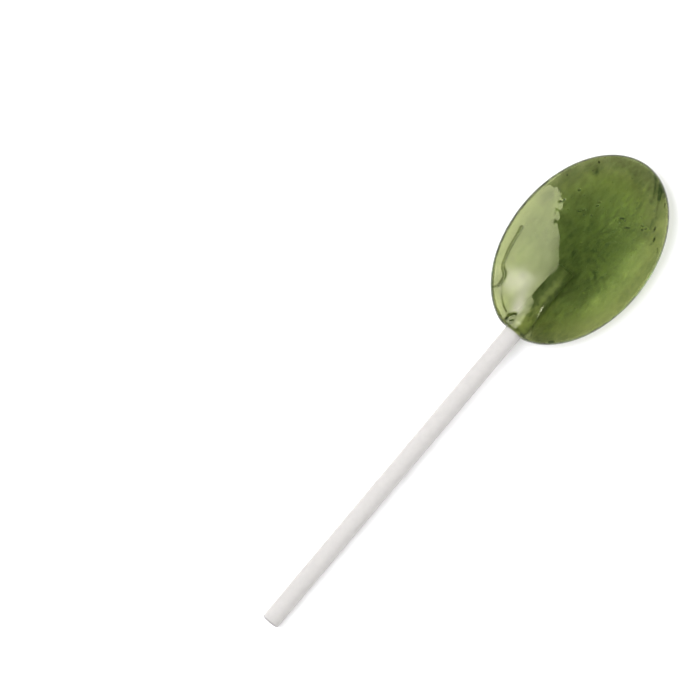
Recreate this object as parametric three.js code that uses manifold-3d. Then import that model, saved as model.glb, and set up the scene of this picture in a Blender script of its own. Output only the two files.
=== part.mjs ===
// Oval lollipop: a flat, double-domed head of clear green candy pressed round a rolled paper stick.
// Millimetres, +Z up. The pop lies face up: the stick runs along Y and the candy's tip points to +Y.
// It rests on a small flat under the lower dome and on the free end of the stick, so it tilts slightly.
import * as THREE from "three";
import { mergeVertices } from "three/addons/utils/BufferGeometryUtils.js";
import Module from "manifold-3d";

const wasm = await Module();
wasm.setup();

// ---- Driving dimensions ----
const candy = {
  length: 41.7, // of the oval, along the stick
  width: 28.3,
  thickness: 7.6, // at the middle, over both domes
  entryFlat: 0.35, // how far the oval is cut short where the stick goes in
};
const rim = {
  thickness: 3, // of the band round the oval
  width: 2.3, // from the outline in to the foot of the dome
  rise: 0.45, // how much each face climbs across the band
  rounding: 0.8, // of the outer edge, measured inwards
};
const collar = {
  height: 1, // of the candy's swelling over the stick, at its mouth
  width: 2.6, // how far it spreads to each side
  length: 8.7, // along the stick, until it has sunk away
};
const stick = {
  diameter: 3.7,
  length: 89,
  exposed: 73, // the length outside the candy
  offset: 0.4, // of its axis from the oval's centre line
  endDepth: 0.35, // rounding of each end, along the stick
  endWidth: 0.8, // and across it
};
const fitGap = 0.3; // between the paper and the candy's socket
const flatDepth = 0.15; // how much the resting flat takes off the lower dome
const entrySoftness = 0.15; // of the corners where the oval is cut short

// ---- Fineness of the meshes ----
const steps = { round: 80, dome: 9, band: 3, edge: 4, stickRound: 40, stickEnd: 4 };
const entryCrowding = 0.6; // 0 spaces the steps round the oval evenly, more crowds them at the stick

// ---- Sizes that follow ----
const stickRadius = stick.diameter / 2;
const entryY = -(candy.length / 2 - candy.entryFlat);
const tailY = entryY - stick.exposed;
const innerEndY = tailY + stick.length;
const shoulderHeight = rim.thickness / 2 + rim.rise;
const centreHeight = candy.thickness / 2 - flatDepth; // of the oval's centre above the ground
const restTilt = Math.asin((centreHeight - stickRadius) / -(tailY + stick.endDepth));

// The larger of two values, with a soft step from one to the other.
function softMax(a, b, softness) {
  return (a + b + Math.hypot(a - b, softness)) / 2;
}

// A point of the oval, drawn `inset` inside the outline and cut short at the stick.
function ovalPoint(angle, inset) {
  const x = (candy.width / 2 - inset) * Math.cos(angle);
  const y = (candy.length / 2 - inset) * Math.sin(angle);
  return { x, y: softMax(y, entryY + inset, entrySoftness) };
}

// How much the candy swells over the stick: most at the mouth, then less and less along the stick.
function collarRise(x, y) {
  const sunk = THREE.MathUtils.clamp((y - entryY - rim.rounding) / collar.length, 0, 1);
  return collar.height * Math.exp(-(((x - stick.offset) / collar.width) ** 2)) * (1 - sunk) ** 2;
}

// Stations from the middle of a face out to the outline: each gives a point for any angle.
// The dome is a paraboloid, which meets the band at nearly the band's own slope.
function faceStations() {
  const stations = [];
  for (let i = 1; i <= steps.dome; i++) {
    const reach = Math.sin((i / steps.dome) * (Math.PI / 2));
    const height = shoulderHeight + (candy.thickness / 2 - shoulderHeight) * (1 - reach ** 2);
    stations.push((angle) => {
      const foot = ovalPoint(angle, rim.width);
      const [x, y] = [foot.x * reach, foot.y * reach];
      return [x, y, height + collarRise(x, y)];
    });
  }
  for (let i = 1; i <= steps.band; i++) {
    const inset = THREE.MathUtils.lerp(rim.width, rim.rounding, i / steps.band);
    const height = THREE.MathUtils.lerp(shoulderHeight, rim.thickness / 2, i / steps.band);
    stations.push((angle) => {
      const { x, y } = ovalPoint(angle, inset);
      return [x, y, height + collarRise(x, y)];
    });
  }
  const bandEdge = stations.at(-1);
  for (let i = 1; i <= steps.edge; i++) {
    const turn = (i / steps.edge) * (Math.PI / 2);
    stations.push((angle) => {
      const { x, y } = ovalPoint(angle, rim.rounding * (1 - Math.sin(turn)));
      return [x, y, i === steps.edge ? 0 : bandEdge(angle)[2] * Math.cos(turn)];
    });
  }
  return stations;
}

// The candy before it is cut: rings of points from the top pole over the edge to the bottom pole.
function pressedCandy() {
  const upper = faceStations();
  const lower = upper.slice(0, -1).reverse();
  const rings = [...upper.map((at) => ({ at, side: 1 })), ...lower.map((at) => ({ at, side: -1 }))];
  const points = [0, 0, candy.thickness / 2];
  for (const { at, side } of rings) {
    for (let i = 0; i < steps.round; i++) {
      const turn = (i / steps.round) * 2 * Math.PI;
      const [x, y, z] = at(turn - entryCrowding * Math.cos(turn));
      points.push(x, y, z * side);
    }
  }
  points.push(0, 0, -candy.thickness / 2);

  const at = (ring, i) => 1 + ring * steps.round + (i % steps.round);
  const lastPoint = points.length / 3 - 1;
  const triangles = [];
  for (let i = 0; i < steps.round; i++) {
    triangles.push(0, at(0, i), at(0, i + 1));
    for (let ring = 0; ring < rings.length - 1; ring++) {
      triangles.push(at(ring, i), at(ring + 1, i), at(ring + 1, i + 1));
      triangles.push(at(ring, i), at(ring + 1, i + 1), at(ring, i + 1));
    }
    triangles.push(lastPoint, at(rings.length - 1, i + 1), at(rings.length - 1, i));
  }
  const geometry = new THREE.BufferGeometry();
  geometry.setAttribute("position", new THREE.Float32BufferAttribute(points, 3));
  geometry.setIndex(triangles);
  return geometry;
}

// A rod along Y with softly rounded ends.
function roundedRod(radius, fromY, toY, endDepth, endWidth) {
  const profile = [new THREE.Vector2(0, fromY)];
  for (let i = 0; i <= steps.stickEnd; i++) {
    const turn = (i / steps.stickEnd) * (Math.PI / 2);
    const across = radius - endWidth * (1 - Math.sin(turn));
    profile.push(new THREE.Vector2(across, fromY + endDepth * (1 - Math.cos(turn))));
  }
  const farEnd = profile.map(({ x, y }) => new THREE.Vector2(x, fromY + toY - y)).reverse();
  return new THREE.LatheGeometry([...profile, ...farEnd], steps.stickRound);
}

function toSolid(geometry) {
  const bare = geometry.clone();
  bare.deleteAttribute("normal");
  bare.deleteAttribute("uv");
  const merged = mergeVertices(bare);
  return new wasm.Manifold(
    new wasm.Mesh({
      numProp: 3,
      vertProperties: new Float32Array(merged.attributes.position.array),
      triVerts: new Uint32Array(merged.index.array),
    }),
  );
}

function toGeometry(solid) {
  const mesh = solid.getMesh();
  const geometry = new THREE.BufferGeometry();
  geometry.setAttribute("position", new THREE.BufferAttribute(mesh.vertProperties, 3));
  geometry.setIndex(new THREE.BufferAttribute(mesh.triVerts, 1));
  geometry.computeVertexNormals();
  return geometry;
}

// ---- Candy head: pressed form, less the stick's socket and less what would sink into the ground ----
function candyHead(ownFrameToWorld) {
  const socket = new THREE.CylinderGeometry(
    stickRadius + fitGap,
    stickRadius + fitGap,
    candy.length,
    steps.stickRound,
  ).translate(stick.offset, innerEndY + fitGap - candy.length / 2, 0);
  const groundDepth = candy.thickness;
  const ground = new THREE.BoxGeometry(2 * candy.width, 2 * candy.length, groundDepth)
    .translate(0, 0, -groundDepth / 2)
    .applyMatrix4(ownFrameToWorld.clone().invert());
  const solid = toSolid(pressedCandy()).subtract(toSolid(socket)).subtract(toSolid(ground));
  const material = new THREE.MeshStandardMaterial({
    color: 0x6f853c,
    roughness: 0.08,
    metalness: 0,
    transparent: true,
    opacity: 0.85,
  });
  const mesh = new THREE.Mesh(toGeometry(solid), material);
  mesh.name = "candy_head";
  return mesh;
}

// ---- Stick: rolled white paper, solid ----
function paperStick() {
  const rod = roundedRod(stickRadius, tailY, innerEndY, stick.endDepth, stick.endWidth);
  const material = new THREE.MeshStandardMaterial({ color: 0xe6e3de, roughness: 0.85, metalness: 0 });
  const mesh = new THREE.Mesh(rod, material);
  mesh.position.x = stick.offset;
  mesh.name = "paper_stick";
  return mesh;
}

// ---- The lollipop at rest ----
const lollipop = new THREE.Group();
lollipop.rotation.x = restTilt;
lollipop.position.z = centreHeight;
lollipop.updateMatrixWorld();
lollipop.add(candyHead(lollipop.matrixWorld), paperStick());

// Its ends lie at equal distances from the origin.
const ends = new THREE.Box3().setFromObject(lollipop, true);
lollipop.position.y -= (ends.min.y + ends.max.y) / 2;

export default lollipop;
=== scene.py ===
"""Oval lollipop: a flat head of clear green hard candy on a rolled white paper stick.

Metres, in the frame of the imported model: +Y runs along the stick to the candy's tip, and +Z is up.
Each piece is first worked out in the lollipop's own frame, whose origin is the middle of the oval and
whose Y is the stick's direction. The lollipop lies slightly tilted, because the stick's end touches
the floor.
"""

import math
import random

import bpy
import numpy as np
from bpy.props import FloatProperty, FloatVectorProperty, IntProperty, PointerProperty
from mathutils import Matrix, Vector, noise


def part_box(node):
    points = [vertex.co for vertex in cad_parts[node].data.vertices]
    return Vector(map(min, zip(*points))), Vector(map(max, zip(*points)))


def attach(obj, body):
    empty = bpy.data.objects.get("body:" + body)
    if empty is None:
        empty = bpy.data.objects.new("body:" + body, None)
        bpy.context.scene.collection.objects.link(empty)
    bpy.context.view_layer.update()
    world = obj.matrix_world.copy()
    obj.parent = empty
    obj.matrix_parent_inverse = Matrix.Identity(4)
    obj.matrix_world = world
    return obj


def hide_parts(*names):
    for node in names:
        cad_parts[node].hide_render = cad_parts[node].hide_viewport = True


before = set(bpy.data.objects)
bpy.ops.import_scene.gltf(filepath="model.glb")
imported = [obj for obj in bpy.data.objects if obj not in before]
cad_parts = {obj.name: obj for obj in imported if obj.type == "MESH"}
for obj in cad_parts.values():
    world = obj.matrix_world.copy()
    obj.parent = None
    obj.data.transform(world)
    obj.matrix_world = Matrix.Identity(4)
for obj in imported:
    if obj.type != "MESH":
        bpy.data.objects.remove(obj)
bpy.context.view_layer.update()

bl_info = {
    "name": "Oval lollipop",
    "version": (1, 0, 0),
    "blender": (4, 5, 0),
    "location": "View3D > Sidebar > Lollipop",
    "description": "Makes an oval hard candy lollipop on a paper stick, and its studio",
    "category": "Object",
}

MM = 0.001
HEAD_LOW, HEAD_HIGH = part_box("candy_head")
STICK_LOW, STICK_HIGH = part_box("paper_stick")

# ---- Sizes shared by the pieces, as in the solids ----
OVAL_CUT = 0.35 * MM  # how far the oval is cut short where the stick goes in
STICK_END_DEPTH = 0.35 * MM  # rounding of each end of the stick, along it
STICK_END_WIDTH = 0.8 * MM  # and across it

# ---- The lollipop's own frame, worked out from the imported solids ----
STICK_RADIUS = (STICK_HIGH.x - STICK_LOW.x) / 2
STICK_OFFSET = (STICK_HIGH.x + STICK_LOW.x) / 2
STICK_RISE = STICK_HIGH.z - STICK_LOW.z - 2 * STICK_RADIUS
TILT = math.asin(STICK_RISE / (STICK_HIGH.y - STICK_LOW.y - 2 * STICK_END_DEPTH))
OVAL_WIDTH = HEAD_HIGH.x - HEAD_LOW.x
OVAL_LENGTH = (HEAD_HIGH.y - HEAD_LOW.y) / math.cos(TILT) + OVAL_CUT
OVAL_MIDDLE_Y = HEAD_HIGH.y - OVAL_LENGTH / 2 * math.cos(TILT)
AXIS_HEIGHT = STICK_RADIUS + math.sin(TILT) * (OVAL_MIDDLE_Y - STICK_LOW.y - STICK_END_DEPTH)
OWN_FRAME = Matrix.Translation((0, OVAL_MIDDLE_Y, AXIS_HEIGHT)) @ Matrix.Rotation(TILT, 4, "X")
STICK_TAIL_Y = (STICK_LOW.y - OVAL_MIDDLE_Y) / math.cos(TILT)
STICK_INNER_Y = (STICK_HIGH.y - OVAL_MIDDLE_Y) / math.cos(TILT)
ENTRY_Y = -(OVAL_LENGTH / 2 - OVAL_CUT)
FLOOR_DROP = 0.02 * MM  # the floor lies this far under the candy, so that the two don't share a plane


# ---------------------------------------------------------------- settings


class CandySettings(bpy.types.PropertyGroup):
    """Sizes and colours of the candy head"""

    thickness: FloatProperty(
        name="Thickness", description="Over both domes", default=7.6 * MM, unit="LENGTH", precision=5
    )
    rim_thickness: FloatProperty(
        name="Rim thickness", description="Of the band round the oval", default=3.0 * MM, unit="LENGTH"
    )
    rim_width: FloatProperty(
        name="Rim width", description="From the outline to the dome's foot", default=2.3 * MM, unit="LENGTH"
    )
    rim_rise: FloatProperty(
        name="Rim rise", description="How much a face climbs across the rim", default=0.45 * MM, unit="LENGTH"
    )
    rim_rounding: FloatProperty(
        name="Rim rounding", description="Of the outer edge, inwards", default=0.8 * MM, unit="LENGTH"
    )
    collar_height: FloatProperty(
        name="Collar height",
        description="Of the swelling over the stick, at its mouth",
        default=1.0 * MM,
        unit="LENGTH",
    )
    collar_width: FloatProperty(
        name="Collar width", description="How far it spreads to each side", default=2.6 * MM, unit="LENGTH"
    )
    collar_length: FloatProperty(
        name="Collar length",
        description="Along the stick, until it has sunk away",
        default=8.7 * MM,
        unit="LENGTH",
    )
    unevenness: FloatProperty(
        name="Unevenness", description="Height of the broad waves", default=0.04 * MM, unit="LENGTH"
    )
    ripple: FloatProperty(
        name="Ripple", description="Height of the fine waves on top", default=0.004 * MM, unit="LENGTH"
    )
    underside: FloatProperty(
        name="Underside", description="Height of the fine waves underneath", default=0.07 * MM, unit="LENGTH"
    )
    wrinkle: FloatProperty(
        name="Wrinkle", description="Height of the wrinkles at the stick", default=0.06 * MM, unit="LENGTH"
    )
    small_bubbles: IntProperty(
        name="Small bubbles", description="How many, besides the large ones", default=60, min=0
    )
    small_bubble: FloatProperty(
        name="Small bubble",
        description="Radius of the largest of them",
        default=0.11 * MM,
        unit="LENGTH",
        precision=6,
    )
    bubble_seed: IntProperty(name="Bubble seed", description="Changes where they are", default=5)
    bubble_stain: FloatProperty(
        name="Bubble stain", description="How dark the candy round a bubble is", default=0.6, subtype="FACTOR"
    )
    absorption: FloatVectorProperty(
        name="Absorption",
        description="Colour that survives the candy",
        subtype="COLOR",
        default=(0.78, 0.84, 0.74),
    )
    density: FloatProperty(name="Density", description="Strength of the absorption", default=300.0)
    tint: FloatVectorProperty(
        name="Tint",
        description="Colour taken on at the surface",
        subtype="COLOR",
        default=(0.8, 0.83, 0.465),
    )
    thin_tint: FloatVectorProperty(
        name="Thin tint",
        description="The same towards the rim",
        subtype="COLOR",
        default=(0.8, 0.83, 0.35),
    )
    gloss: FloatVectorProperty(
        name="Gloss",
        description="Colour of what the surface mirrors",
        subtype="COLOR",
        default=(0.95, 1.0, 0.57),
    )
    dark_tint: FloatVectorProperty(
        name="Dark tint",
        description="The tint where the candy is darkest",
        subtype="COLOR",
        default=(0.02, 0.045, 0.01),
    )


class StickSettings(bpy.types.PropertyGroup):
    """Colours and step of the paper stick"""

    paper: FloatVectorProperty(
        name="Paper", description="Dry paper", subtype="COLOR", default=(0.421, 0.409, 0.392)
    )
    fibre: FloatVectorProperty(
        name="Fibre",
        description="The paper's darker fibres",
        subtype="COLOR",
        default=(0.405, 0.393, 0.378),
    )
    # Painted shade at the stick's rounded free end, darker than the paper.
    painted_end_shade: FloatVectorProperty(
        name="Cut end",
        description="The stick's free end, where the roll is cut",
        subtype="COLOR",
        default=(0.3, 0.29, 0.28),
    )
    # Paper inside the candy: its soaked colour, with painted shade where it shows on the flanks.
    soaked_and_shaded: FloatVectorProperty(
        name="Soaked paper",
        description="Paper inside the candy",
        subtype="COLOR",
        default=(0.2, 0.24, 0.12),
    )
    # Painted light: the lit strip along the top of the paper inside the candy.
    painted_lit_strip: FloatVectorProperty(
        name="Soaked strip",
        description="The lighter strip on it",
        subtype="COLOR",
        default=(0.45, 0.5, 0.27),
    )
    soaked_end: FloatVectorProperty(
        name="Soaked end",
        description="The inner end, stained by the candy",
        subtype="COLOR",
        default=(0.2, 0.25, 0.1),
    )
    seam_step: FloatProperty(
        name="Seam step", description="Thickness of the paper's edge", default=0.05 * MM, unit="LENGTH"
    )


class StudioSettings(bpy.types.PropertyGroup):
    """The floor's colour and the strength of the lights"""

    floor: FloatVectorProperty(
        name="Floor", description="Floor colour", subtype="COLOR", default=(0.95, 0.95, 0.95)
    )
    surroundings: FloatProperty(
        name="Surroundings", description="Brightness of the room's walls", default=0.2
    )
    ceiling: FloatProperty(name="Ceiling", description="Brightness overhead", default=0.06)
    softbox: FloatProperty(
        name="Softbox", description="Brightness of the main light's face", default=6.3
    )
    hot_spot: FloatVectorProperty(
        name="Hot spot",
        description="What the softbox's bright spot has on top of that",
        subtype="COLOR",
        soft_max=20.0,
        default=(6.8, 5.8, 10.5),
    )
    left_light: FloatProperty(
        name="Left light", description="Brightness of the low light on the left", default=5.5
    )
    right_light: FloatProperty(
        name="Right light", description="Brightness of the low light on the right", default=5.3
    )
    tip_light: FloatProperty(
        name="Tip light", description="Brightness of the light beyond the tip", default=3.6
    )
    front_light: FloatProperty(
        name="Front light", description="Brightness of the low light in front", default=2.7
    )


# ---------------------------------------------------------------- shader graph


class Signal:
    """A socket of a shader tree. Arithmetic on it adds Math nodes."""

    def __init__(self, graph, socket):
        self.graph = graph
        self.socket = socket

    def maths(self, operation, first, second=0.0, clamp=False):
        """A Math node's result."""
        settings = {"operation": operation, "use_clamp": clamp}
        return self.graph.node("ShaderNodeMath", settings, {0: first, 1: second})

    def __add__(self, other):
        return self.maths("ADD", self, other)

    def __sub__(self, other):
        return self.maths("SUBTRACT", self, other)

    def __rsub__(self, other):
        return self.maths("SUBTRACT", other, self)

    def __mul__(self, other):
        return self.maths("MULTIPLY", self, other)

    def __truediv__(self, other):
        return self.maths("DIVIDE", self, other)

    def __pow__(self, other):
        return self.maths("POWER", self, other)

    def __abs__(self):
        return self.maths("ABSOLUTE", self)

    __radd__ = __add__
    __rmul__ = __mul__

    def clamped(self):
        """The same, kept between 0 and 1."""
        return self.maths("ADD", self, 0.0, clamp=True)

    def ramp(self, low, high):
        """0 below low and 1 above high, with a smooth step between."""
        return self.graph.node(
            "ShaderNodeMapRange",
            {"interpolation_type": "SMOOTHSTEP"},
            {"Value": self, "From Min": low, "From Max": high},
        )


class Graph:
    """The node tree of a material, a light or the world, made empty."""

    def __init__(self, owner):
        owner.use_nodes = True
        self.tree = owner.node_tree
        self.tree.nodes.clear()

    def node(self, kind, settings=None, inputs=None, output=0):
        """A node, its settings first and then its sockets' values or links. Gives one of its outputs."""
        made = self.tree.nodes.new(kind)
        for key, value in (settings or {}).items():
            setattr(made, key, value)
        for key, value in (inputs or {}).items():
            if isinstance(value, Signal):
                self.tree.links.new(value.socket, made.inputs[key])
            else:
                made.inputs[key].default_value = value
        return Signal(self, made.outputs[output]) if made.outputs else None

    def mix(self, factor, first, second):
        """One colour fading into another."""
        # A Mix node's sockets for colours come after those for numbers and vectors.
        return self.node("ShaderNodeMix", {"data_type": "RGBA"}, {0: factor, 6: first, 7: second}, output=2)

    def parts(self, vector):
        """Its X, Y and Z."""
        split = self.node("ShaderNodeSeparateXYZ", inputs={0: vector})
        return [Signal(self, output) for output in split.socket.node.outputs]


# The candy's point attributes that change its tint
DARKNESS = "darkness"
THINNESS = "thinness"
MOTTLING = "mottling"


def opaque(colour):
    """A colour as a colour socket takes it, with its alpha."""
    return (*colour, 1.0)


# ---------------------------------------------------------------- meshes


def add_mesh(name, points, faces, material):
    """A smooth mesh object of one material."""
    mesh = bpy.data.meshes.new(name)
    mesh.from_pydata([tuple(p) for p in points], [], faces)
    mesh.shade_smooth()
    mesh.materials.append(material)
    piece = bpy.data.objects.new(name, mesh)
    bpy.context.scene.collection.objects.link(piece)
    return piece


def add_attribute(piece, name, values):
    """A number at each point of the mesh, which its material can read."""
    piece.data.attributes.new(name, "FLOAT", "POINT").data.foreach_set("value", values)


def laid_down(points):
    """Points of the lollipop's own frame, where they are when it rests on the floor."""
    turn = np.array(OWN_FRAME.to_3x3())
    return np.asarray(points, dtype=float) @ turn.T + np.array(OWN_FRAME.translation)


def tube_faces(rings, around):
    """Quads between rings of points, with a point at each end of the list closing it by triangles."""
    faces = []
    last = 1 + rings * around
    for i in range(around):
        j = (i + 1) % around
        faces.append((0, 1 + i, 1 + j))
        for ring in range(rings - 1):
            here, there = 1 + ring * around, 1 + (ring + 1) * around
            faces.append((here + i, there + i, there + j, here + j))
        end = 1 + (rings - 1) * around
        faces.append((last, end + j, end + i))
    return faces


def soft_max(a, b, softness):
    """The larger of two values, with a soft step from one to the other."""
    return (a + b + np.hypot(a - b, softness)) / 2


def smooth_step(value, low, high):
    """0 at low and 1 at high, with a smooth step between. High may be the smaller one."""
    t = np.clip((value - low) / (high - low), 0, 1)
    return t * t * (3 - 2 * t)


def waves(x, y, wavelength, seed, stretch=1.0):
    """Smooth noise between about -1 and 1 at each point, longer along Y by a stretch."""
    across, along = x.ravel() / wavelength, y.ravel() / (wavelength * stretch)
    return np.array([noise.noise(Vector((a, b, seed))) for a, b in zip(across, along)]).reshape(x.shape)


def path_distance(x, y, path):
    """How far each point lies from a path of (x, y) points."""
    nearest = np.full(np.shape(x), np.inf)
    for (ax, ay), (bx, by) in zip(path, path[1:]):
        dx, dy = bx - ax, by - ay
        along = np.clip(((x - ax) * dx + (y - ay) * dy) / (dx * dx + dy * dy), 0, 1)
        nearest = np.minimum(nearest, np.hypot(x - ax - along * dx, y - ay - along * dy))
    return nearest


# What the press left on the shown face: a path in millimetres, its half width, its height (a groove is
# negative) and how much it darkens the tint; along the fold that darkening is painted shade in the crease.
MARKS = [
    # The fold along the left side, darkened as painted shade in its crease, a short crease beside it, and
    # where it runs on round the bottom.
    ([(-11.4, -3.8), (-11.0, -6.0), (-10.52, -8.7), (-9.8, -10.9), (-9.6, -11.6), (-9.15, -12.2),
      (-8.2, -12.8), (-7.78, -13.5), (-7.52, -15.0), (-7.9, -16.2)], 0.4, -0.23, 0.3),
    ([(-9.5, -9.4), (-8.9, -10.6)], 0.2, -0.03, 0.0),
    ([(-7.2, -15.1), (-6.0, -16.6), (-4.6, -17.8), (-3.3, -18.4)], 0.3, -0.032, 0.15),
    # Shallow hollows: one left of the stick's inner end, one at the left rim.
    ([(-6.8, -3.0), (-5.4, -4.4), (-4.4, -5.9)], 3.4, -0.068, 0.0),
    ([(-13.0, 8.2), (-10.8, 7.8)], 2.2, -0.015, 0.0),
    # Low ridges between them, which make the mirrored softbox's edge ragged, and a lighter stretch.
    ([(-9.4, 6.4), (-8.2, 5.2)], 2.0, 0.034, 0.0),
    ([(-8.4, 5.0), (-7.6, 4.1)], 0.9, 0.01, 0.0),
    ([(-7.4, 2.9), (-6.9, 2.2)], 0.8, 0.012, 0.0),
    ([(-6.3, 1.1), (-5.6, 0.7)], 0.7, 0.008, 0.0),
    ([(-10.6, 5.2), (-9.3, 3.9), (-8.5, 2.9), (-7.9, 1.6)], 0.7, 0.0, -0.17),
    # Streaks along the tip's right shoulder.
    ([(3.6, 20.0), (4.3, 18.9), (5.3, 17.2)], 0.45, -0.02, 1.5),
    ([(4.2, 19.0), (4.9, 17.9)], 0.45, 0.0, 1.5),
    ([(4.3, 19.4), (5.1, 18.9)], 0.35, -0.04, 0.5),
    ([(1.7, 20.3), (2.5, 19.7)], 0.35, -0.03, 0.5),
    ([(2.6, 19.6), (3.6, 17.9), (4.4, 16.6)], 0.35, -0.03, 0.2),
    ([(5.3, 17.2), (6.3, 15.4), (7.2, 14.0)], 0.4, -0.03, 0.25),
    ([(6.8, 17.3), (7.2, 16.6)], 0.25, -0.03, 0.4),
    # Strokes on the right.
    ([(6.9, 13.4), (7.7, 11.7)], 0.4, -0.03, 0.3),
    ([(8.2, 12.7), (8.5, 11.6)], 0.3, -0.03, 0.4),
    ([(9.4, 11.2), (9.8, 10.2), (9.7, 9.3)], 0.35, -0.035, 0.4),
    ([(11.2, 9.8), (11.7, 9.1)], 0.25, -0.03, 0.4),
    # Scratches across the upper half.
    ([(1.8, 9.4), (2.6, 9.9)], 0.25, -0.04, 0.6),
    ([(3.7, 8.6), (4.6, 9.3)], 0.25, -0.04, 0.6),
    ([(3.9, 9.5), (4.6, 10.0)], 0.2, -0.03, 0.3),
    ([(-5.3, 5.3), (-4.6, 6.0)], 0.35, -0.04, 0.5),
    ([(-8.9, 4.7), (-8.4, 5.5)], 0.35, -0.05, 0.6),
    # Blotches.
    ([(-7.3, 13.6), (-7.1, 13.2)], 0.9, 0.0, 0.3),
    ([(4.4, 15.9), (4.6, 15.6)], 0.5, 0.0, 0.3),
    ([(2.5, 13.8), (2.7, 13.5)], 0.5, 0.0, 0.2),
    # A raised thread of candy beside the stick.
    ([(1.7, -13.0), (1.9, -14.1), (2.2, -15.3)], 0.28, 0.065, 0.0),
    # Where the paper comes out.
    ([(-2.1, -19.5), (-2.2, -18.5), (-1.6, -17.8)], 0.6, -0.22, 0.5),
    ([(-1.4, -19.4), (-1.2, -18.9)], 0.45, -0.16, 0.5),
    ([(-2.3, -19.3), (-1.4, -19.5)], 0.7, 0.0, 0.7),
    ([(-1.2, -19.4), (2.4, -19.6)], 0.6, 0.0, 0.4),
    ([(1.7, -19.9), (2.7, -19.8)], 0.5, 0.0, 0.5),
    ([(2.6, -17.2), (3.4, -18.8)], 0.3, -0.03, 0.3),
    # Uneven candy over the stick.
    ([(0.3, -13.4), (1.3, -13.8)], 0.9, 0.0, 0.14),
    ([(0.2, -13.0), (0.6, -13.3)], 0.35, 0.0, 0.25),
    ([(0.2, -14.4), (0.9, -14.7)], 0.35, 0.0, 0.3),
    ([(0.6, -15.1), (1.0, -16.8)], 0.6, 0.015, 0.45),
    ([(1.4, -15.2), (1.6, -16.2)], 0.45, -0.02, 0.45),
    ([(2.2, -15.8), (2.9, -17.6)], 0.25, 0.02, -0.1),
    ([(-1.0, -9.6), (-0.7, -10.4)], 0.5, 0.0, 0.2),
    # A nick at the lower right edge.
    ([(6.9, -17.5), (7.5, -16.9)], 0.4, -0.05, 0.8),
]

# Broad swellings with soft sides, near the stick's mouth: a path, its half width and its height.
SWELLINGS = [
    ([(0.7, -17.0), (1.2, -18.2), (1.6, -20.5)], 2.0, 0.03),
    ([(0.4, -15.3), (1.3, -20.5)], 2.5, 0.065),
    ([(0.3, -12.8), (0.5, -14.6)], 2.3, 0.018),
]

# Painted light and shade, partly the candy's uneven colour: where the tint is darker or lighter than
# elsewhere, standing in for glows and shadows.
# The middle of each broad cloud, its half width and half length in millimetres, and how much it darkens the
# tint.
LIGHT_AND_SHADE_CLOUDS = [
    # Round the tip.
    (-2.5, 13, 5, 5, -0.15),
    (-3.5, 14, 2.5, 1.6, -0.06),
    (-7.2, 14.6, 2.5, 2.5, 0.24),
    (-9, 14, 2, 2, 0.07),
    (-8.5, 14, 1.5, 2, 0.07),
    (-5, 18, 2.5, 1.6, 0.2),
    (-4, 16.5, 3.5, 2, 0.05),
    (-1, 18, 6, 2.5, 0.03),
    (1, 19.5, 9, 3.3, 0.31),
    (4, 18.2, 3.5, 1.5, 0.04),
    (5.5, 18, 3.5, 3, 0.13),
    (5, 13, 1.5, 3, -0.08),
    (7.3, 14.2, 2, 2, 0.12),
    (8, 15, 2.5, 2.5, 0.06),
    # Down the right side.
    (7, 10.5, 1.5, 1.5, 0.1),
    (10.3, 11, 2.2, 2.2, 0.2),
    (11.5, 7, 1.5, 4, 0.1),
    (12.6, 4, 1.4, 9, 0.14),
    (12.8, 0, 2.3, 16, 0.04),
    # Painted light down the right side.
    (9.2, 1, 1.9, 11, -0.29),
    (9, 1, 1.2, 4, 0.06),
    (8, -1, 1.5, 5, 0.06),
    (11.5, -9, 1.5, 2.5, 0.05),
    (9, -11, 1.5, 3, -0.08),
    (9.5, -14.5, 2.6, 5, 0.3),
    # Down the left side.
    (-11, 11, 2, 2, 0.1),
    (-11, 10, 1.8, 2.5, 0.1),
    (-11.5, 10, 1.5, 2, 0.12),
    (-12.3, 7, 1.2, 1.5, -0.08),
    (-11.2, 5, 1.5, 3, 0.14),
    (-11, 5, 1.2, 1.5, 0.1),
    (-11.5, 3.5, 1.5, 2, 0.15),
    (-12.5, 0, 2.2, 14, 0.14),
    (-9, -2.5, 2, 3.5, 0.2),
    (-11.5, -8, 1.5, 2.5, -0.1),
    (-11, -9, 1.5, 3, 0.13),
    (-9, -12, 1, 2, -0.08),
    (-8.2, -15, 1.8, 3.2, 0.22),
    # In the middle.
    (4.2, 4, 3.5, 9, 0.14),
    (3, 7, 2, 4, 0.08),
    (-1.5, 0, 3, 4.5, 0.06),
    (-4.8, -2.8, 1.6, 2.2, 0.15),
    (-1, -5, 1, 2, 0.1),
    # Beside the stick and at its mouth.
    (3, -13, 1.2, 3, 0.1),
    # Painted light over the stick's shadow beside it.
    (3, -13, 1.3, 5, -0.24),
    (6.5, -13, 3, 4, -0.05),
    (5, -16, 1.5, 1.5, 0.1),
    (5, -18, 3, 2.5, 0.28),
    (2, -17, 2.5, 2.5, -0.08),
    (1, -18, 2.5, 2, -0.08),
    (-2.3, -16.4, 1.6, 2.2, 0.25),
    (-4.6, -18.4, 3.2, 1.3, -0.2),
]

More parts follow.
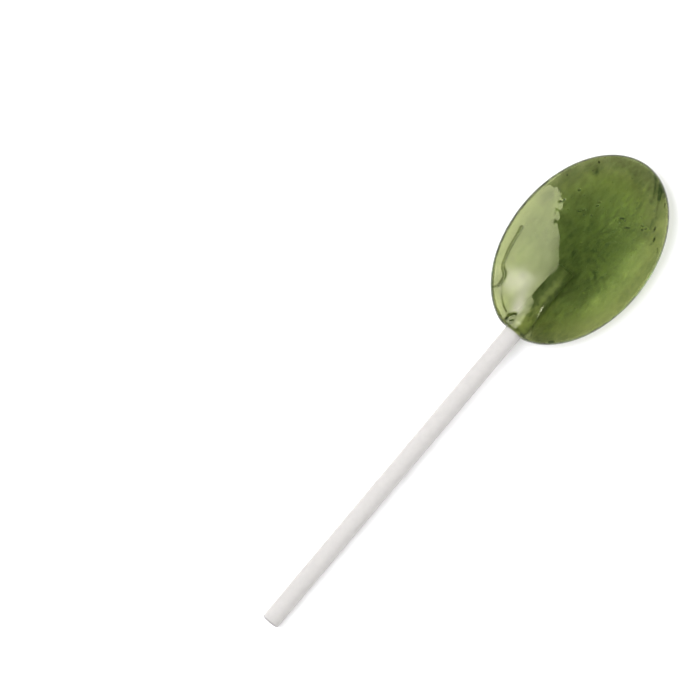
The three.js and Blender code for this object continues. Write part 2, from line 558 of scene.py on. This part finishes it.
# Air bubbles in the candy, in millimetres: across, along, depth under the shown face, radius, how many
# times as long as wide, and the turn of the long way in degrees.
BUBBLES = [
    (-7.53, 8.67, 0.7, 0.31, 1.2, 60),
    (-2.92, 8.62, 0.6, 0.3, 1.3, 60),
    (-3, 9.4, 0.7, 0.22, 1.6, 10),
    (-11.1, 9.4, 0.5, 0.18, 1, 0),
    (-8.7, 4.95, 0.6, 0.35, 1.2, 20),
    (-8.5, 5.5, 0.5, 0.22, 1, 0),
    (-10.5, 6.05, 0.5, 0.22, 1.3, 120),
    (-4.25, 6.35, 0.7, 0.21, 1, 0),
    (-4.9, 5.65, 0.6, 0.23, 2, 45),
    (-3.85, 5.55, 0.7, 0.18, 1, 0),
    (-2.56, 6.35, 0.7, 0.17, 1.5, 140),
    (-8, 15.2, 0.6, 0.2, 1.4, 150),
    (2.2, 9.67, 0.6, 0.21, 2, 35),
    (3, 9.67, 0.6, 0.18, 1, 0),
    (4.15, 8.97, 0.5, 0.17, 3, 40),
    (6.2, 11.2, 0.6, 0.3, 1.2, 30),
    (7.05, 11.1, 0.5, 0.22, 1.4, 60),
    (6.65, 10.6, 0.6, 0.23, 1.4, 20),
    (7.9, 11.1, 0.5, 0.13, 1, 0),
    (8.4, 12.2, 0.5, 0.2, 2.5, 105),
    (9.6, 10.6, 0.5, 0.21, 2.5, 110),
]


class CandyForm:
    """The pressed candy's shape, as heights over the lollipop's own mid-plane."""

    AROUND = 620  # points in a ring
    CROWDING = 0.35  # 0 spaces them evenly, more crowds them at the stick
    SHOWN_RINGS, UNDER_RINGS = (84, 14, 8), (28, 5, 8)  # on the dome, on the band and round the edge
    TOP_SEED, BOTTOM_SEED = 3.7, 8.1
    ENTRY_SOFTNESS = 0.15 * MM  # of the corners where the oval is cut short
    BROAD_WAVE, FINE_WAVE, WRINKLE_WAVE = 6 * MM, 0.8 * MM, 1.1 * MM  # the length of each
    WRINKLE_REACH = 2 * MM, 5.5 * MM  # from the stick's mouth: where wrinkles begin to fade, and end
    EDGE_FADE = 1.2 * MM  # how far inside the outline the relief reaches its full height
    PLAIN_DARKNESS = 0.38  # of the tint, where there is no cloud, streak or mark
    BUBBLE_REACH = 0.84  # the small bubbles keep clear of the rim

    def __init__(self, settings):
        self.settings = settings

    def oval(self, angle, inset):
        """Points of the oval, drawn inside the outline by an inset and cut short at the stick."""
        x = (OVAL_WIDTH / 2 - inset) * np.cos(angle)
        y = (OVAL_LENGTH / 2 - inset) * np.sin(angle)
        return x, soft_max(y, ENTRY_Y + inset, self.ENTRY_SOFTNESS)

    def reach(self, x, y):
        """0 in the middle of the oval and 1 at its outline."""
        return np.hypot(x / (OVAL_WIDTH / 2), y / (OVAL_LENGTH / 2))

    def dome_height(self, reach):
        """Height of a face, from its middle, where the reach is 0, to the dome's foot, where it is 1."""
        half, shoulder = self.settings.thickness / 2, self.settings.rim_thickness / 2 + self.settings.rim_rise
        return shoulder + (half - shoulder) * (1 - reach**2)

    def collar(self, x, y):
        """How much the candy swells over the stick, less and less along it."""
        s = self.settings
        sunk = np.clip((y - ENTRY_Y - s.rim_rounding) / s.collar_length, 0, 1)
        return s.collar_height * np.exp(-(((x - STICK_OFFSET) / s.collar_width) ** 2)) * (1 - sunk) ** 2

    def relief(self, x, y, edge_distance, seed):
        """Waves, wrinkles and marks of a face, fading out at the edge."""
        s = self.settings
        shown = seed == self.TOP_SEED
        broad, fine = s.unevenness, s.underside
        if shown:
            # The shown face is smoother beside the stick and at the rim.
            broad *= 0.3 + 0.7 * smooth_step(y, -12 * MM, 2 * MM)
            past_stick = smooth_step(y, -3 * MM, 1 * MM)
            inside_rim = smooth_step(edge_distance, 0.5 * MM, 4 * MM)
            fine = s.ripple * (0.3 + 0.6 * past_stick) * inside_rim
        height = broad * waves(x, y, self.BROAD_WAVE, seed)
        height += fine * waves(x, y, self.FINE_WAVE, seed + 10)
        at_stick = 1 - smooth_step(np.hypot(x - STICK_OFFSET, y - ENTRY_Y), *self.WRINKLE_REACH)
        height += s.wrinkle * at_stick * waves(x, y, self.WRINKLE_WAVE, seed + 20, stretch=2.5)
        if shown:
            for path, width, rise, _ in MARKS:
                height += rise * MM * np.maximum(0, 1 - path_distance(x / MM, y / MM, path) / width)
            for path, width, rise in SWELLINGS:
                height += rise * MM * smooth_step(path_distance(x / MM, y / MM, path), width, 0)
        return height * smooth_step(edge_distance, 0, self.EDGE_FADE)

    def darkness(self, x, y, seed):
        """How dark the surface's tint is at each point, from 0 to 1."""
        x, y = x / MM, y / MM
        slanting_bands = waves(x + y, y - x, 3.0, seed, stretch=2)
        dark = self.PLAIN_DARKNESS + 0.06 * slanting_bands
        # Broad clouds of painted light and shade, partly the candy's uneven colour.
        for middle_x, middle_y, wide, long, amount in LIGHT_AND_SHADE_CLOUDS:
            dark += amount * np.exp(-(((x - middle_x) / wide) ** 2) - ((y - middle_y) / long) ** 2)
        if seed == self.TOP_SEED:
            # Marks darken or lighten the tint along them; along the fold this is painted shade.
            for path, width, _, stain in MARKS:
                dark += stain * (1 - smooth_step(path_distance(x, y, path), 0, width))
        # Fine streaks fan out from the stick's mouth and fade within 10 mm of it.
        out, turn = np.hypot(x, y - ENTRY_Y / MM), np.arctan2(y - ENTRY_Y / MM, x)
        streaks = waves(turn, out, 0.09, seed, stretch=30) * smooth_step(out, 10, 2)
        return np.clip(dark + 0.25 * streaks, 0, 1)

    def mottling(self, x, y):
        """How mottled the candy is: much on the upper right, little on the lower left and at the rim."""
        least = 0.45
        lost_at_rim = 0.5 * smooth_step(self.reach(x, y), 0.6, 0.9)
        # How many millimetres past the border, which runs up beside the stick and then slants to the left.
        x, y = x / MM, y / MM
        past_border = np.maximum(x + 1.5, 0.76 * x + 0.65 * y + 4.5)
        return (least + (1 - least) * smooth_step(past_border, -1.0, 1.0)) * (1 - lost_at_rim)

    def thinness(self, x, y):
        """How much of the rim's tint the candy has, from 0 in the middle to 1 at the rim."""
        return smooth_step(self.reach(x, y), 0.5, 0.95)

    def face(self, seed, counts):
        """Rings of points of one face, from the middle out to the outline: arrays x, y and z."""
        on_dome, on_band, on_edge = counts
        s = self.settings
        turn = np.arange(self.AROUND) / self.AROUND * 2 * np.pi
        angle = turn - self.CROWDING * np.cos(turn)
        foot_x, foot_y = self.oval(angle, s.rim_width)
        rings = []
        for i in range(1, on_dome + 1):
            reach = i / on_dome
            x, y = foot_x * reach, foot_y * reach
            edge_distance = s.rim_width + (1 - reach) * OVAL_WIDTH / 2
            z = self.dome_height(reach) + self.collar(x, y) + self.relief(x, y, edge_distance, seed)
            rings.append((x, y, z))
        for i in range(1, on_band + 1):
            part = i / on_band
            inset = s.rim_width + (s.rim_rounding - s.rim_width) * part
            height = s.rim_thickness / 2 + s.rim_rise * (1 - part)
            x, y = self.oval(angle, inset)
            rings.append((x, y, height + self.collar(x, y) + self.relief(x, y, inset, seed)))
        band_edge = rings[-1][2]
        for i in range(1, on_edge + 1):
            over = i / on_edge * math.pi / 2
            x, y = self.oval(angle, s.rim_rounding * (1 - math.sin(over)))
            rings.append((x, y, band_edge * (math.cos(over) if i < on_edge else 0)))
        return rings

    def bubbles(self):
        """Middle, radius, stretch and turn of each air bubble, the seeded small ones included."""
        s = self.settings
        chance = random.Random(s.bubble_seed)
        found = [(x * MM, y * MM, depth * MM, radius * MM, *rest) for x, y, depth, radius, *rest in BUBBLES]
        while len(found) < len(BUBBLES) + s.small_bubbles:
            x, y = chance.uniform(-0.45, 0.45) * OVAL_WIDTH, chance.uniform(-0.1, 0.45) * OVAL_LENGTH
            if self.reach(x, y) < self.BUBBLE_REACH:
                radius = s.small_bubble * chance.uniform(0.5, 1)
                depth = chance.uniform(0.4, 2.5) * MM
                found.append((x, y, depth, radius, chance.uniform(1, 1.6), chance.uniform(0, 180)))
        for x, y, depth, radius, stretch, turn in found:
            reach = math.hypot(x / (OVAL_WIDTH / 2 - s.rim_width), y / (OVAL_LENGTH / 2 - s.rim_width))
            yield Vector((x, y, self.dome_height(reach) - depth)), radius, stretch, math.radians(turn)

    def mesh(self):
        """Points, faces and darkness of the whole candy, flattened where it would sink into the floor."""
        top = self.face(self.TOP_SEED, self.SHOWN_RINGS)
        bottom = self.face(self.BOTTOM_SEED, self.UNDER_RINGS)
        rings = [*top, *[(x, y, -z) for x, y, z in bottom[-2::-1]]]
        pole = self.settings.thickness / 2
        points = [(0, 0, pole), *(p for x, y, z in rings for p in zip(x, y, z)), (0, 0, -pole)]
        points = np.array(points)
        ground = -(AXIS_HEIGHT + points[:, 1] * math.sin(TILT)) / math.cos(TILT)
        points[:, 2] = np.maximum(points[:, 2], ground)
        above = 1 + len(top) * self.AROUND  # the upper face's points, which come first
        dark = np.concatenate([
            self.darkness(points[:above, 0], points[:above, 1], self.TOP_SEED),
            self.darkness(points[above:, 0], points[above:, 1], self.BOTTOM_SEED),
        ])
        faces = tube_faces(len(rings), self.AROUND)
        for middle, radius, stretch, turn in self.bubbles():
            shell, shell_faces = bubble_mesh(middle, radius, stretch, turn)
            faces += [tuple(len(points) + corner for corner in face) for face in shell_faces]
            points = np.concatenate([points, shell])
            dark = np.concatenate([dark, np.full(len(shell), self.settings.bubble_stain)])
        return points, faces, dark


def bubble_mesh(middle, radius, stretch, turn):
    """A drawn-out ball whose faces look inwards, as the candy's surface does round air."""
    around, rings = 10, 6
    points = [(0, 0, -1)]
    for ring in range(1, rings):
        lift = ring / rings * math.pi
        for i in range(around):
            way = i / around * 2 * math.pi
            points.append((math.cos(way) * math.sin(lift), math.sin(way) * math.sin(lift), -math.cos(lift)))
    points.append((0, 0, 1))
    points = np.array(points) * (radius * stretch, radius, radius)
    points = points @ np.array(Matrix.Rotation(turn, 3, "Z")).T + np.array(middle)
    return points, tube_faces(rings - 1, around)


def rod_mesh(radius, seam_step):
    """The stick: a rod with rounded ends, whose rolled paper leaves one small step along it."""
    around, end_steps, side_steps = 96, 8, 60
    seam_turn = -0.9  # where the step is, in radians from +X
    seam_share = 0.25  # of a turn, over which the paper sinks back from it
    profile = []
    for i in range(end_steps + 1):
        turn = i / end_steps * math.pi / 2
        profile.append((STICK_END_WIDTH * (1 - math.sin(turn)), STICK_END_DEPTH * (1 - math.cos(turn))))
    tail = [(cut, STICK_TAIL_Y + depth) for cut, depth in profile]
    inner = [(cut, STICK_INNER_Y - depth) for cut, depth in reversed(profile)]
    between = [
        (0.0, tail[-1][1] + (inner[0][1] - tail[-1][1]) * i / side_steps) for i in range(1, side_steps)
    ]
    rings = [*tail, *between, *inner]
    points = [(STICK_OFFSET, STICK_TAIL_Y, 0)]
    for cut, y in rings:
        for i in range(around):
            share = i / around
            r = radius - cut - seam_step * min(1.0, share / seam_share)
            angle = seam_turn - share * 2 * math.pi
            points.append((STICK_OFFSET + r * math.cos(angle), y, r * math.sin(angle)))
    points.append((STICK_OFFSET, STICK_INNER_Y, 0))
    return points, tube_faces(len(rings), around)


# ---------------------------------------------------------------- materials


def candy_material(settings):
    """Clear hard candy, coloured inside and tinted at its surface, more so in clouds, streaks and marks."""
    material = bpy.data.materials.new("hard_candy")
    graph = Graph(material)
    dark, mottled, thin = [
        graph.node("ShaderNodeAttribute", {"attribute_name": name}, output="Fac")
        for name in (DARKNESS, MOTTLING, THINNESS)
    ]
    # The mottling's grain is drawn out along the stick.
    place = graph.node("ShaderNodeTexCoord", output="Object")
    drawn_out = graph.node(
        "ShaderNodeVectorMath", {"operation": "MULTIPLY"}, {0: place, 1: (1.0, 0.45, 1.0)}
    )
    grain = graph.node(
        "ShaderNodeTexNoise", inputs={"Vector": drawn_out, "Scale": 1000.0, "Detail": 5.0, "Roughness": 0.65}
    )
    contrast = 1.25
    dark = (dark + (grain - 0.5) * mottled * contrast).clamped()
    tint = graph.mix(thin, opaque(settings.tint), opaque(settings.thin_tint))
    surface = graph.node(
        "ShaderNodeBsdfPrincipled",
        inputs={
            "Base Color": graph.mix(dark, tint, opaque(settings.dark_tint)),
            "Roughness": 0.03,
            "IOR": 1.53,
            "Specular Tint": opaque(settings.gloss),
            "Transmission Weight": 1.0,
        },
    )
    inside = graph.node(
        "ShaderNodeVolumeAbsorption",
        inputs={"Color": opaque(settings.absorption), "Density": settings.density},
    )
    graph.node("ShaderNodeOutputMaterial", inputs={"Surface": surface, "Volume": inside})
    return material


def paper_material(settings):
    """Dry white paper with faint fibres and painted shade at its cut end; inside the candy it is soaked, with
    painted shade on the flanks and a painted lit strip along it.
    """
    material = bpy.data.materials.new("rolled_paper")
    graph = Graph(material)
    place = graph.node("ShaderNodeTexCoord", output="Object")
    x, y, _ = graph.parts(place)
    along = y - OVAL_MIDDLE_Y
    fibres = graph.node("ShaderNodeTexNoise", inputs={"Vector": place, "Scale": 900.0, "Detail": 3.0})

    # Inside the candy a painted lit strip runs along the paper, between painted shade on its flanks. It
    # widens and moves over towards the mouth.
    to_mouth = 1 - along.ramp(-18 * MM, -13 * MM)
    strip_middle = STICK_OFFSET + 0.4 * MM + to_mouth * (0.4 * MM)
    strip_reach = 1.2 * MM + to_mouth * MM
    raggedness = 1.2
    strip = (1 - abs(x - strip_middle) / strip_reach + (fibres - 0.5) * raggedness).ramp(0.0, 1.1)
    inner = graph.mix(strip, opaque(settings.soaked_and_shaded), opaque(settings.painted_lit_strip))
    near_inner_end = along.ramp(-9 * MM, -4.5 * MM)
    inner = graph.mix(near_inner_end, inner, opaque(settings.soaked_end))

    # Painted shade at the stick's cut end.
    past_cut = along.ramp(STICK_TAIL_Y + 0.1 * MM, STICK_TAIL_Y + 0.5 * MM)
    outer = graph.mix(fibres.ramp(0.35, 0.65), opaque(settings.fibre), opaque(settings.paper))
    outer = graph.mix(past_cut, opaque(settings.painted_end_shade), outer)

    inside = along.ramp(ENTRY_Y - 0.2 * MM, ENTRY_Y + 0.8 * MM)
    surface = graph.node(
        "ShaderNodeBsdfPrincipled",
        inputs={
            "Base Color": graph.mix(inside, outer, inner),
            "Roughness": 0.8,
            "Specular IOR Level": 0.3,
        },
    )
    graph.node("ShaderNodeOutputMaterial", inputs={"Surface": surface})
    return material


# ---------------------------------------------------------------- studio


def add_floor(settings):
    """A plain pale floor under the lollipop."""
    material = bpy.data.materials.new("floor")
    graph = Graph(material)
    surface = graph.node(
        "ShaderNodeBsdfPrincipled", inputs={"Base Color": opaque(settings.floor), "Roughness": 0.9}
    )
    graph.node("ShaderNodeOutputMaterial", inputs={"Surface": surface})
    half, height = 2.0, -FLOOR_DROP
    corners = [(-half, -half, height), (half, -half, height), (half, half, height), (-half, half, height)]
    add_mesh("floor", corners, [(0, 1, 2, 3)], material)


# A lamp's bright spot, in shares of its face: its middle, its radius, and how it is drawn out and slanted
# so that the candy mirrors it as a round spot.
SPOT_U, SPOT_V = 0.385, 0.475
SPOT_RADIUS = 0.35
SPOT_STRETCH, SPOT_SLANT = 2.14, 1.2


def add_lamp(scene, name, corner, across, along, brightness, hot_spot=(0.0, 0.0, 0.0), corner_loss=0.0):
    """A rectangular light, from one corner over the candy and its two edges. It may have a bright spot,
    and lose some of its light at that corner."""
    lamp = bpy.data.lights.new(name, "AREA")
    lamp.shape = "RECTANGLE"
    lamp.size, lamp.size_y = across.length, along.length
    lamp.energy = math.pi * across.length * along.length
    graph = Graph(lamp)
    place = graph.node("ShaderNodeNewGeometry", output="Parametric")
    u, v, _ = graph.parts(place)
    off = u - SPOT_U
    slanted = (v - SPOT_V) * SPOT_STRETCH - off * SPOT_SLANT
    glow = 1 - ((off**2 + slanted**2) ** 0.5).ramp(0.0, SPOT_RADIUS)
    plain, hot = (brightness,) * 3, tuple(brightness + extra for extra in hot_spot)
    # What is lost at the corner fades three times as far across the face as along it.
    from_corner = ((u * 0.6) ** 2 + (v * 1.8) ** 2) ** 0.5
    strength = 1 - (1 - from_corner.ramp(0.1, 0.45)) * corner_loss
    face = graph.node(
        "ShaderNodeEmission",
        inputs={"Color": graph.mix(glow, opaque(plain), opaque(hot)), "Strength": strength},
    )
    graph.node("ShaderNodeOutputLight", inputs={"Surface": face})
    x_axis, y_axis = across.normalized(), along.normalized()
    turn = Matrix((x_axis, y_axis, x_axis.cross(y_axis))).transposed().to_4x4()
    middle = corner + (across + along) / 2 + Vector((0, OVAL_MIDDLE_Y, 0))
    placed = bpy.data.objects.new(name, lamp)
    placed.matrix_world = Matrix.Translation(middle) @ turn
    scene.collection.objects.link(placed)


def add_facing_lamp(scene, name, azimuth, elevation, width, height, brightness):
    """A light that faces the candy from a direction given in degrees, anticlockwise from +X."""
    lamp_distance = 0.6
    turn, lift = math.radians(azimuth), math.radians(elevation)
    away = Vector((math.cos(turn) * math.cos(lift), math.sin(turn) * math.cos(lift), math.sin(lift)))
    sideways = Vector((-math.sin(turn), math.cos(turn), 0))
    upward = away.cross(sideways)
    corner = away * lamp_distance - sideways * width / 2 - upward * height / 2
    add_lamp(scene, name, corner, sideways * width, upward * height, brightness)


def add_lights(scene, settings):
    """A dim room, a large softbox with a bright spot, and low lights all round."""
    scene.world = bpy.data.worlds.new("studio")
    graph = Graph(scene.world)
    way = graph.node("ShaderNodeTexCoord", output="Generated")
    height = graph.node("ShaderNodeSeparateXYZ", inputs={0: way}, output="Z")
    walls, ceiling = opaque((settings.surroundings,) * 3), opaque((settings.ceiling,) * 3)
    colour = graph.mix(height.ramp(0.7, 0.9), walls, ceiling)
    room = graph.node("ShaderNodeBackground", inputs={"Color": colour, "Strength": 1.0})
    graph.node("ShaderNodeOutputWorld", inputs={"Surface": room})
    # The softbox leans over the candy from its left, with one corner nearly overhead.
    corner = Vector((-0.029, -0.089, 0.628))
    width, length = 0.417, 0.286
    across, along = width * Vector((-0.6, 0.427, -0.676)), length * Vector((0, -0.845, -0.534))
    add_lamp(scene, "softbox", corner, across, along, settings.softbox, settings.hot_spot, corner_loss=0.5)
    # Azimuth and elevation in degrees, width and height in metres.
    add_facing_lamp(scene, "left_light", 180, 30, 0.6, 0.25, settings.left_light)
    add_facing_lamp(scene, "right_light", 25, 27, 0.6, 0.22, settings.right_light)
    add_facing_lamp(scene, "tip_light", 90, 35, 0.6, 0.22, settings.tip_light)
    add_facing_lamp(scene, "front_light", -40, 30, 0.6, 0.25, settings.front_light)


def add_camera(scene):
    """Looks straight down at the lollipop, turned so that the stick runs up to the right."""
    camera = bpy.data.cameras.new("camera")
    camera.lens = 250
    camera.sensor_width = 36
    slope = math.radians(50)  # of the stick, in the view
    view_width = 134.9 * MM
    right, up = 44.305 * MM, 19.31 * MM  # from the view's middle to the oval's
    across = Vector((math.sin(slope), math.cos(slope), 0))
    upward = Vector((-math.cos(slope), math.sin(slope), 0))
    aim = Vector((0, OVAL_MIDDLE_Y, AXIS_HEIGHT)) - across * right - upward * up
    height = view_width * camera.lens / camera.sensor_width
    turn = Matrix((across, upward, Vector((0, 0, 1)))).transposed().to_4x4()
    eye = bpy.data.objects.new("camera", camera)
    eye.matrix_world = Matrix.Translation(aim + Vector((0, 0, height))) @ turn
    scene.collection.objects.link(eye)
    scene.camera = eye
    scene.view_settings.view_transform = "Standard"


# ---------------------------------------------------------------- operators


class LOLLIPOP_OT_candy(bpy.types.Operator):
    """Make the candy head, with its waves, in place of its solid"""

    bl_idname = "lollipop.candy"
    bl_label = "Candy head"

    def execute(self, context):
        settings = context.scene.lollipop_candy
        form = CandyForm(settings)
        points, faces, dark = form.mesh()
        head = add_mesh("clear_candy", laid_down(points), faces, candy_material(settings))
        add_attribute(head, DARKNESS, dark)
        add_attribute(head, THINNESS, form.thinness(points[:, 0], points[:, 1]))
        add_attribute(head, MOTTLING, form.mottling(points[:, 0], points[:, 1]))
        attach(head, "root")
        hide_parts("candy_head")
        return {"FINISHED"}


class LOLLIPOP_OT_stick(bpy.types.Operator):
    """Make the rolled paper stick in place of its solid"""

    bl_idname = "lollipop.stick"
    bl_label = "Paper stick"

    def execute(self, context):
        settings = context.scene.lollipop_stick
        points, faces = rod_mesh(STICK_RADIUS, settings.seam_step)
        stick = add_mesh("rolled_stick", laid_down(points), faces, paper_material(settings))
        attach(stick, "root")
        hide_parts("paper_stick")
        return {"FINISHED"}


class LOLLIPOP_OT_studio(bpy.types.Operator):
    """Make the floor, the lights and the camera"""

    bl_idname = "lollipop.studio"
    bl_label = "Studio"

    def execute(self, context):
        settings = context.scene.lollipop_studio
        add_floor(settings)
        add_lights(context.scene, settings)
        add_camera(context.scene)
        return {"FINISHED"}


class LOLLIPOP_PT_panel(bpy.types.Panel):
    bl_label = "Oval lollipop"
    bl_idname = "LOLLIPOP_PT_panel"
    bl_space_type = "VIEW_3D"
    bl_region_type = "UI"
    bl_category = "Lollipop"

    def draw(self, context):
        for operator, place in zip(OPERATORS, SETTINGS):
            settings = getattr(context.scene, place)
            box = self.layout.box()
            box.operator(operator.bl_idname)
            for name in settings.__annotations__:
                box.prop(settings, name)


# The settings of each operator stand in the same order, under their names in the scene.
OPERATORS = (LOLLIPOP_OT_candy, LOLLIPOP_OT_stick, LOLLIPOP_OT_studio)
SETTINGS = {
    "lollipop_candy": CandySettings,
    "lollipop_stick": StickSettings,
    "lollipop_studio": StudioSettings,
}
CLASSES = (*SETTINGS.values(), *OPERATORS, LOLLIPOP_PT_panel)


def register():
    for cls in CLASSES:
        bpy.utils.register_class(cls)
    for name, group in SETTINGS.items():
        setattr(bpy.types.Scene, name, PointerProperty(type=group))


def unregister():
    for name in SETTINGS:
        delattr(bpy.types.Scene, name)
    for cls in reversed(CLASSES):
        bpy.utils.unregister_class(cls)


def main():
    register()
    bpy.ops.lollipop.candy()
    bpy.ops.lollipop.stick()
    bpy.ops.lollipop.studio()


if __name__ == "__main__":
    main()
